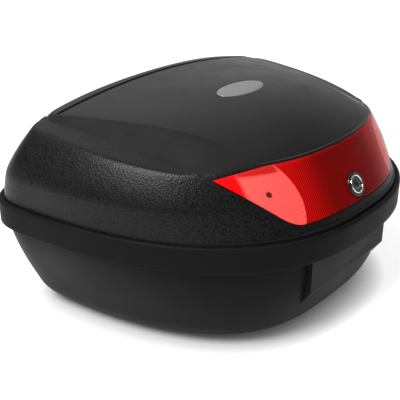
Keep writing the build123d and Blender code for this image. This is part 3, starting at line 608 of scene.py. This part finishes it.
def oval(name, grow, low, high, bevel=0.0):
    """Oval disc on the hood with the badge's outline, between two heights over its seat."""
    turns = np.linspace(0, 2 * pi, 96, endpoint=False)
    levels = [(grow, low), (grow, high - bevel), (grow - 0.4 * bevel, high - 0.25 * bevel),
              (grow - bevel, high)]
    if bevel:
        levels += [(grow - crown_step * k, high + badge_crown * (1 - (1 - k / 2.6) ** 2))
                   for k in (1.0, 1.6, 2.2)]
    points = []
    for more, up in levels:
        x = (badge_long + more) * np.cos(turns)
        y = (badge_short + more) * np.sin(turns)
        points.append(np.column_stack([x, badge_y + y - badge_tilt * up, badge_z + up + badge_tilt * y]))
    rings = round_faces(len(levels), len(turns), closed=False)
    disc = make_piece(name, np.concatenate(points), rings + end_caps(len(levels), len(turns)))
    face_outward(disc)
    return disc


lid.data.materials.append(hood_plastic())
lid.data.materials.append(wall_plastic())
thick = lid.modifiers.new("wall", "SOLIDIFY")
thick.thickness = lid_wall * MM
thick.offset = -1
thick.use_even_offset = False
settle(lid)
face_outward(lid)
lens_tool = lens_block("lens_tool", 0.5, -9.0, pocket_depth)
badge_tool = oval("badge_tool", 0.4, -2.6, 12.0)
lining = lens_block("lining", 3.4, 1.2, cover_depth)
badge_pad = oval("badge_pad", 3.0, -5.6, -1.0)
for part in (lid, lining):
    cut(part, lens_tool)
for part in (lid, badge_pad):
    cut(part, badge_tool)
drop(lens_tool, badge_tool)
flange_side = lid_step + 1.0
flange_top = lid_foot + 4.0
flange = swept_ring("flange", [(flange_side, flange_side, flange_side, lid_foot),
                               (flange_side, flange_side, flange_side, flange_top),
                               (ledge_side, ledge_rider, ledge_side, flange_top),
                               (ledge_side, ledge_rider, ledge_side, lid_foot)])
join(lid, lining, badge_pad, flange)
smooth(lid, 24)
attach(lid, "lid")
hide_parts("lid_shell")

# ---- Reflector -----------------------------------------------------------------------------------
# The red panel that wraps round the rear of the lid: clear red acrylic over a moulded pattern, a grid
# of fine dots on each wing and upright ribs in the middle. It stands in a pocket on two screwed posts.
wing_edge = 101.0
screw_spot = (139.0, 219.5)
rib_pitch = 2.8
dots_per_metre = 330.0
# in metres: height where the wings come closest to the middle, the rise over which they spread by a bulge,
# half the blur of their edge, where the middle's red is brightest and deepest, the rim of a screw's shadow,
# the heights and the places across of the shade under the hood's edge, and the thin tip
wing_middle = 0.206
wing_rise = 0.040
wing_bulge = 0.015
wing_blur = 0.0006
red_fade = (0.105, 0.045)
screw_shadow = (0.0022, 0.0046)
shade_rise = (0.2385, 0.2430)
shade_start = (0.112, 0.122)
shade_end = (0.168, 0.160)
tip_start = (0.160, 0.166)
# a dot's edge in a cell of the grid, and a rib's edges on a wave from -1 to 1
dot_edge = (0.42, 0.22)
rib_edge = (-0.2, 0.9)


def red_acrylic():
    """Deep red gloss over a dotted wing painted pale with a glow, and a ribbed middle, darker towards the
    lock.
    """
    material = finish("red_acrylic", (0.55, 0.004, 0.006), 0.12, specular=0.03)
    tree = material.node_tree
    shader = tree.nodes["Principled BSDF"]
    axes = add_node(material, "ShaderNodeSeparateXYZ", [("Vector", place_of(material))])

    def combined(operation, first, second):
        """One step of arithmetic on numbers or sockets."""
        node = add_node(material, "ShaderNodeMath", operation=operation)
        for socket, value in enumerate((first, second)):
            if isinstance(value, (int, float)):
                node.inputs[socket].default_value = value
            else:
                tree.links.new(value, node.inputs[socket])
        return node.outputs[0]

    def stepped(value, low, high):
        """Rises smoothly from 0 to 1 between two values, or falls where the first is the higher."""
        node = add_node(material, "ShaderNodeMapRange", [("Value", value)], interpolation_type="SMOOTHSTEP")
        node.inputs["From Min"].default_value = low
        node.inputs["From Max"].default_value = high
        return node.outputs["Result"]

    def blended(share, first, second):
        """Colour between two colours."""
        node = add_node(material, "ShaderNodeMix", data_type="RGBA")
        tree.links.new(share, node.inputs["Factor"])
        for socket, value in (("A", first), ("B", second)):
            if isinstance(value, tuple):
                node.inputs[socket].default_value = (*value, 1)
            else:
                tree.links.new(value, node.inputs[socket])
        return node.outputs["Result"]

    side = combined("ABSOLUTE", axes.outputs["X"], 0.0)
    rise = combined("DIVIDE", combined("SUBTRACT", axes.outputs["Z"], wing_middle), wing_rise)
    bulge = combined("MULTIPLY", combined("POWER", combined("ABSOLUTE", rise, 0.0), 2.0), wing_bulge)
    from_arc = combined("SUBTRACT", combined("SUBTRACT", side, wing_edge * MM), bulge)
    wing = stepped(from_arc, -wing_blur, wing_blur)
    centre = stepped(side, *red_fade)
    middle_red = blended(centre, (0.40, 0.001, 0.001), (0.075, 0.0002, 0.0002))
    dots = add_node(material, "ShaderNodeTexVoronoi", [("Vector", place_of(material))], Scale=dots_per_metre,
                    Randomness=0.0)
    dot = stepped(dots.outputs["Distance"], *dot_edge)
    # partly painted light: the dot grid is the panel's own pattern, while the wings' pale bright red is a
    # painted glow for light the tray throws back
    wing_red_and_glow = blended(dot, (1.0, 0.105, 0.095), (0.95, 0.060, 0.050))
    ribs = combined("SINE", combined("MULTIPLY", axes.outputs["X"], 2 * pi / (rib_pitch * MM)), 0.0)
    rib = stepped(ribs, *rib_edge)
    ribbed = blended(combined("MULTIPLY", rib, 0.35), middle_red, (0.9, 0.02, 0.015))
    across = combined("POWER", combined("SUBTRACT", side, screw_spot[0] * MM), 2.0)
    upward = combined("POWER", combined("SUBTRACT", axes.outputs["Z"], screw_spot[1] * MM), 2.0)
    clear = stepped(combined("SQRT", combined("ADD", across, upward), 0.0), *screw_shadow)
    pattern = blended(clear, (0.10, 0.012, 0.012), blended(wing, ribbed, wing_red_and_glow))
    # painted shade and reflection of the hood's dark edge at the top of each wing, and the deeper red of its
    # thin tip
    shade = combined("MULTIPLY", stepped(axes.outputs["Z"], *shade_rise), stepped(side, *shade_start))
    shade = combined("MULTIPLY", shade, stepped(side, *shade_end))
    tip = stepped(side, *tip_start)
    pattern = blended(tip, pattern, (0.75, 0.004, 0.004))
    tree.links.new(blended(shade, pattern, (0.50, 0.014, 0.012)), shader.inputs["Base Color"])
    height = combined("ADD", combined("MULTIPLY", rib, 0.5), combined("MULTIPLY", dot, wing))
    bump = add_node(material, "ShaderNodeBump", [("Height", height)], Strength=0.5, Distance=0.0003)
    tree.links.new(bump.outputs["Normal"], shader.inputs["Normal"])
    return material


lens = lens_block("red_reflector", 0.0, -0.5, 3.0, edge_round=1.6)
lens.data.materials.append(red_acrylic())
smooth(lens, 40)
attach(lens, "lid")
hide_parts("reflector_lens")

# ---- Reflector tray and screws -------------------------------------------------------------------
# The pale tray behind the red panel, which throws light back through it, and the two screws that hold
# panel and tray from inside the lid.


def dress(material, *names):
    """Gives pieces whose CAD shape stays a finished surface."""
    for name in names:
        for place in nodes[name].material_slots:
            place.material = material


def moulded(name, colours, roughness, depth=0.03, cell=1.0, specular=0.4, patch=40):
    """Plain moulded plastic or rubber with a fine texture and slow unevenness."""
    material = finish(name, colours[0], roughness[0], specular=specular)
    pebble(material, cell, depth, share=0.4)
    vary(material, colours, roughness, patch)
    return material


def plated(name, colours, roughness, patch=9):
    """Metal with a cloudy plated surface, fine pits and rubbed places."""
    material = finish(name, colours[0], roughness[0], metallic=1.0)
    pebble(material, 0.5, 0.006, share=0.3)
    vary(material, colours, roughness, patch)
    return material


pale_tray = moulded("pale_tray", ((0.40, 0.38, 0.37), (0.46, 0.44, 0.43)), (0.42, 0.55))
dress(pale_tray, "reflector_tray")
bright_screw = plated("bright_screw", ((0.50, 0.50, 0.49), (0.62, 0.62, 0.60)), (0.26, 0.42), 4)
dress(bright_screw, "lens_screws")

# ---- Badge ---------------------------------------------------------------------------------------
# Plain oval plate bonded into its seat on the hood: brushed grey metal with a bevelled edge, left bare.


def badge_metal():
    """Grey metal plate, brushed across and clear-coated."""
    material = finish("badge_grey", (0.19, 0.19, 0.19), 0.4, metallic=0.35, specular=0.5)
    place = add_node(material, "ShaderNodeMapping", [("Vector", place_of(material))])
    place.inputs["Scale"].default_value = (60, 2600, 60)
    strokes = add_node(material, "ShaderNodeTexNoise", [("Vector", place.outputs[0])], Scale=1.0, Detail=4.0)
    greys = ((0.165, 0.165, 0.165), (0.215, 0.215, 0.215))
    vary(material, greys, (0.32, 0.45), 20, source=strokes.outputs["Fac"])
    bump = add_node(material, "ShaderNodeBump", [("Height", strokes.outputs["Fac"])], Strength=0.4,
                    Distance=0.00004)
    material.node_tree.links.new(bump.outputs["Normal"],
                                 material.node_tree.nodes["Principled BSDF"].inputs["Normal"])
    return material


badge = oval("oval_badge", 0.0, -2.5, -0.5, bevel=0.7)
badge.data.materials.append(badge_metal())
smooth(badge, 40)
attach(badge, "lid")
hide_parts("badge")

# ---- Lock ----------------------------------------------------------------------------------------
# Key lock in the middle of the reflector: a black trim ring, a chrome face ring, a die-cast barrel with
# its nut inside the lid, and a turning plug with a slanted key slot. The cam is screwed to its inner end.
lock_up = 198.3
lean_length = float(np.hypot(1, rear_lean))
lock_centre = (0.0, wide_y - rear_reach + rear_foot + rear_lean * (lock_up - lid_foot), lock_up)
lock_axis = (0.0, -1 / lean_length, rear_lean / lean_length)
bore_radius = 11.05
plug_bore = 7.05


def turned(name, centre, axis, profile, solid=False):
    """Piece turned on an axis from (radius, distance along it): a closed section, or the edge of a solid."""
    z_axis = Vector(axis).normalized()
    x_axis = Vector((1, 0, 0)) if abs(z_axis.x) < 0.9 else Vector((0, 1, 0))
    y_axis = np.array(z_axis.cross(x_axis).normalized())
    x_axis = np.cross(y_axis, np.array(z_axis))
    count = 96
    angles = np.linspace(0, 2 * pi, count, endpoint=False)
    ring = np.cos(angles)[:, None] * x_axis + np.sin(angles)[:, None] * y_axis
    rings = [np.array(centre) + ring * radius + np.array(z_axis) * along for radius, along in profile]
    faces = round_faces(len(profile), count, closed=not solid)
    piece = make_piece(name, np.concatenate(rings), faces + (end_caps(len(profile), count) if solid else []))
    face_outward(piece)
    return piece


trim_outline = [(bore_radius, -4.6), (13.7, -4.6), (13.7, -0.3), (16.5, -0.3), (16.5, 1.5), (16.25, 2.1),
                (15.5, 2.9), (14.5, 3.2), (13.5, 3.0), (12.95, 2.4), (12.85, 1.6), (bore_radius, 1.6)]
trim = turned("lock_trim", lock_centre, lock_axis, trim_outline)
gloss_black = moulded("gloss_black", (black(0.006), black(0.009)), (0.10, 0.16), 0.004, 0.8, 0.5)
trim.data.materials.append(gloss_black)
smooth(trim, 50)
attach(trim, "lid")
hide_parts("lock_ring")

chrome_arc = [(11.65 + 1.1 * float(np.cos(a)), 2.5 + 1.4 * float(np.sin(a))) for a in np.linspace(0, pi, 13)]
chrome_outline = [(10.55, 1.7), (12.75, 1.7)] + chrome_arc
face_ring = turned("lock_face_ring", lock_centre, lock_axis, chrome_outline)
chrome = plated("chrome", ((0.80, 0.80, 0.80), (0.88, 0.88, 0.88)), (0.05, 0.10), 6)
face_ring.data.materials.append(chrome)
smooth(face_ring, 60)
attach(face_ring, "lid")
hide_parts("lock_bezel")

barrel_outline = [(plug_bore, -26.0), (10.6, -26.0), (11.0, -25.4), (11.0, 1.8), (10.5, 1.9), (10.5, 2.6),
                  (10.2, 2.8), (7.5, 2.6), (plug_bore, 2.2)]
barrel = turned("lock_body", lock_centre, lock_axis, barrel_outline)
dark_face = moulded("dark_face", (black(0.030), black(0.045)), (0.22, 0.32), 0.01, 0.6, 0.5)
barrel.data.materials.append(dark_face)
smooth(barrel, 40)
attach(barrel, "lid")
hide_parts("lock_barrel")

plug_outline = [(7.0, -26.9), (7.0, 2.5), (6.7, 2.9), (6.0, 3.2), (4.0, 3.4), (2.0, 3.5)]
plug = turned("key_plug", lock_centre, lock_axis, plug_outline, solid=True)
slot_half = (0.8, 3.5)
turn_cos = float(np.cos(pi / 4))
slot_points = []
for along in (-8.0, 6.0):
    for across, up in ((-1, -1), (1, -1), (1, 1), (-1, 1)):
        a, b = across * slot_half[0], up * slot_half[1]
        x, v = (a - b) * turn_cos, (a + b) * turn_cos
        slot_points.append((x, lock_centre[1] + v * rear_lean / lean_length + along * lock_axis[1],
                            lock_centre[2] + v / lean_length + along * lock_axis[2]))
slot_faces = [(3, 2, 1, 0), (4, 5, 6, 7), (0, 1, 5, 4), (1, 2, 6, 5), (2, 3, 7, 6), (3, 0, 4, 7)]
slot_tool = make_piece("slot_tool", slot_points, slot_faces)
face_outward(slot_tool)
cut(plug, slot_tool)
drop(slot_tool)
plug.data.materials.clear()
plug_metal = plated("plug_metal", ((0.10, 0.10, 0.10), (0.15, 0.15, 0.145)), (0.28, 0.40), 3)
plug.data.materials.append(plug_metal)
smooth(plug, 30)
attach(plug, "key_lock")
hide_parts("lock_plug")
zinc = plated("zinc", ((0.42, 0.43, 0.44), (0.55, 0.55, 0.54)), (0.34, 0.50), 12)
dress(zinc, "lock_nut", "lock_cam")
dress(bright_screw, "cam_screw")

# ---- Latch ---------------------------------------------------------------------------------------
# Pressed steel slider that the cam's pin pushes sideways, on a moulded guide screwed to two posts of
# the lid. Its two hooks pass down through the keeper and slide under its leaf.
pressed_steel = plated("pressed_steel", ((0.44, 0.44, 0.43), (0.58, 0.58, 0.56)), (0.30, 0.46), 14)
dress(pressed_steel, "latch_slider")
inner_black = moulded("inner_black", (black(0.012), black(0.017)), (0.46, 0.60), 0.05, 1.2, 0.3)
dress(inner_black, "latch_guide")
dress(bright_screw, "guide_screws")

# ---- Seal and lid screws -------------------------------------------------------------------------
# Soft black rubber strip pressed into the underside of the band's ledge, with the ten screws that hold
# the lid shell and the band together.
seal_rubber = moulded("seal_rubber", (black(0.014), black(0.022)), (0.70, 0.86), 0.03, 0.7, 0.25)
dress(seal_rubber, "lid_seal")
dress(bright_screw, "band_screws")

# ---- Tub -----------------------------------------------------------------------------------------
# The lower shell, injection-moulded in smooth satin black, that narrows to the mounting plate in its
# floor. Its flat block behind carries the keeper inside.
tub_satin = moulded("tub_satin", (black(0.006), black(0.010)), (0.40, 0.52), 0.012, 0.8, 0.07, 70)
dress(tub_satin, "tub_shell")

# ---- Keeper --------------------------------------------------------------------------------------
# Folded zinc-plated plate that four screws hold inside the tub's rear wall. The latch's hooks catch
# under its leaf.
dress(zinc, "lid_keeper")
dress(bright_screw, "keeper_screws")

# ---- Hinges --------------------------------------------------------------------------------------
# Two black die-cast hinges on the rider side: leaves bolted through the tub, arms screwed up into the
# band, and a steel pin with formed heads through each.
hinge_black = moulded("hinge_black", (black(0.012), black(0.018)), (0.34, 0.48), 0.02, 0.9, 0.45, 25)
dress(hinge_black, "tub_hinges", "lid_hinges")
dress(zinc, "hinge_bolts", "hinge_nuts")
dress(bright_screw, "hinge_pins", "hinge_screws")

# ---- Mounting plate ------------------------------------------------------------------------------
# Ribbed black plate that four bolts hold to the motorcycle's rack through slots, with four rubber pads
# that the case stands on.
plate_black = moulded("plate_black", (black(0.014), black(0.020)), (0.50, 0.64), 0.06, 1.4, 0.3)
dress(plate_black, "mounting_plate")
dress(seal_rubber, "plate_pads")

# ---- Release -------------------------------------------------------------------------------------
# Red sliding hook inside the tub that holds the case to the catch bar of its plate, pushed home by two
# coiled steel springs under a black cover with four screws. The springs press flat as the hook is pulled.
release_red = moulded("release_red", ((0.42, 0.012, 0.010), (0.50, 0.018, 0.014)), (0.34, 0.46), 0.02, 1.0)
dress(release_red, "release_hook")
dress(inner_black, "release_cover")
dress(bright_screw, "cover_screws")
spring_low, spring_high = (np.array(corner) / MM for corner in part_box("release_springs"))
wire_radius = 0.6
coil_radius = 3.2
coil_turns = 6
wire_points = 10
around_wire = np.linspace(0, 2 * pi, wire_points, endpoint=False)
along_coil = np.linspace(0, 1, 24 * coil_turns + 1)
coil_turn = 2 * pi * coil_turns * along_coil
coil_y = spring_low[1] + wire_radius + (spring_high[1] - spring_low[1] - 2 * wire_radius) * along_coil
reach = coil_radius + wire_radius * np.cos(around_wire)[None, :]
coils = []
for middle in (spring_low[0] + coil_radius + wire_radius, spring_high[0] - coil_radius - wire_radius):
    rings = np.stack([middle + reach * np.cos(coil_turn)[:, None],
                      coil_y[:, None] + wire_radius * np.sin(around_wire)[None, :],
                      (spring_low[2] + spring_high[2]) / 2 + reach * np.sin(coil_turn)[:, None]], axis=-1)
    wire_faces = round_faces(len(along_coil), wire_points, closed=False)
    coils.append(make_piece("return_springs", rings.reshape(-1, 3),
                            wire_faces + end_caps(len(along_coil), wire_points)))
springs, other_spring = coils
springs.data.materials.append(bright_screw)
join(springs, other_spring)
face_outward(springs)
smooth(springs, 50)
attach(springs, "tub")
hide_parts("release_springs")
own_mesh(springs)

# ---- Studio --------------------------------------------------------------------------------------
# A sheet of white paper under a pale sky, a broad lamp overhead and a soft box high on the left, seen
# from the left rear of the case and a little above it.
scene = bpy.context.scene
scene.view_settings.view_transform = "Standard"
camera_data = bpy.data.cameras.new("camera")
camera_data.lens = 67.1
camera_data.sensor_width = 36.0
camera = bpy.data.objects.new("camera", camera_data)
camera.location = Vector((-806.0, -620.35, 579.4)) * MM
camera.rotation_euler = Vector((0.6949, 0.5878, -0.4144)).to_track_quat("-Z", "Y").to_euler()
scene.collection.objects.link(camera)
scene.camera = camera


def seen_by(tree, *rays):
    """Share that is 1 for any of the named kinds of ray."""
    path = tree.nodes.new("ShaderNodeLightPath")
    total = path.outputs[rays[0]]
    for ray in rays[1:]:
        either = tree.nodes.new("ShaderNodeMath")
        either.operation = "MAXIMUM"
        tree.links.new(total, either.inputs[0])
        tree.links.new(path.outputs[ray], either.inputs[1])
        total = either.outputs[0]
    return total


world = bpy.data.worlds.new("studio")
world.use_nodes = True
scene.world = world
sky = world.node_tree
background = sky.nodes["Background"]
way = sky.nodes.new("ShaderNodeTexCoord")
toward = sky.nodes.new("ShaderNodeVectorMath")
toward.operation = "DOT_PRODUCT"
toward.inputs[1].default_value = (0.80, 0.50, -0.40)
sky.links.new(way.outputs["Generated"], toward.inputs[0])
sweep = sky.nodes.new("ShaderNodeValToRGB")
sky.links.new(toward.outputs["Value"], sweep.inputs["Fac"])
for stop, position, grey in zip(sweep.color_ramp.elements, (0.35, 0.88), (0.15, 0.80)):
    stop.position = position
    stop.color = (grey, grey, grey, 1)
mirror = sky.nodes.new("ShaderNodeMix")
mirror.data_type = "RGBA"
mirror.inputs["A"].default_value = (0.30, 0.30, 0.30, 1)
sky.links.new(sweep.outputs["Color"], mirror.inputs["B"])
sky.links.new(seen_by(sky, "Is Glossy Ray"), mirror.inputs["Factor"])
mix = sky.nodes.new("ShaderNodeMix")
mix.data_type = "RGBA"
sky.links.new(mirror.outputs["Result"], mix.inputs["A"])
mix.inputs["B"].default_value = (1, 1, 1, 1)
sky.links.new(seen_by(sky, "Is Camera Ray", "Is Transmission Ray"), mix.inputs["Factor"])
sky.links.new(mix.outputs["Result"], background.inputs["Color"])

floor_reach = 30.0
floor_corners = [(-floor_reach, -floor_reach, 0), (floor_reach, -floor_reach, 0),
                 (floor_reach, floor_reach, 0), (-floor_reach, floor_reach, 0)]
floor_mesh = bpy.data.meshes.new("floor")
floor_mesh.from_pydata(floor_corners, [], [(0, 1, 2, 3)])
floor = bpy.data.objects.new("floor", floor_mesh)
scene.collection.objects.link(floor)
paper = finish("paper", (0.45, 0.45, 0.45), 0.9, specular=0.1)
paper_shader = paper.node_tree.nodes["Principled BSDF"]
paper_shader.inputs["Emission Color"].default_value = (1, 1, 1, 1)
# painted contact shadow: the paper's glow is multiplied by ambient occlusion, so it fades to dark close to
# the case
painted_shadow_mask = add_node(paper, "ShaderNodeAmbientOcclusion", Distance=0.045, samples=8)
painted_shadow_mask = add_node(paper, "ShaderNodeMath", [(0, painted_shadow_mask.outputs["AO"])], operation="POWER")
painted_shadow_mask.inputs[1].default_value = 1.5
glow = add_node(paper, "ShaderNodeMath", [(1, painted_shadow_mask.outputs[0])], operation="MULTIPLY")
paper.node_tree.links.new(seen_by(paper.node_tree, "Is Camera Ray", "Is Glossy Ray", "Is Transmission Ray"),
                          glow.inputs[0])
glow = add_node(paper, "ShaderNodeMath", [(0, glow.outputs[0])], operation="MULTIPLY")
glow.inputs[1].default_value = 0.80
paper.node_tree.links.new(glow.outputs[0], paper_shader.inputs["Emission Strength"])
floor.data.materials.append(paper)

overhead = bpy.data.lights.new("overhead", "SUN")
overhead.energy = 0.60
overhead.angle = radians(70)
overhead_holder = bpy.data.objects.new("overhead", overhead)
overhead_holder.rotation_euler = Vector((-0.20, -0.50, -0.84)).to_track_quat("-Z", "Y").to_euler()
scene.collection.objects.link(overhead_holder)

case_middle = Vector((0, 0, 0.15))
soft_box = bpy.data.lights.new("left_box", "AREA")
soft_box.size = 1.1
soft_box.energy = 84
soft_box_holder = bpy.data.objects.new("left_box", soft_box)
soft_box_holder.location = (-1.50, 0.02, 2.02)
soft_box_holder.rotation_euler = (case_middle - soft_box_holder.location).to_track_quat("-Z", "Y").to_euler()
scene.collection.objects.link(soft_box_holder)
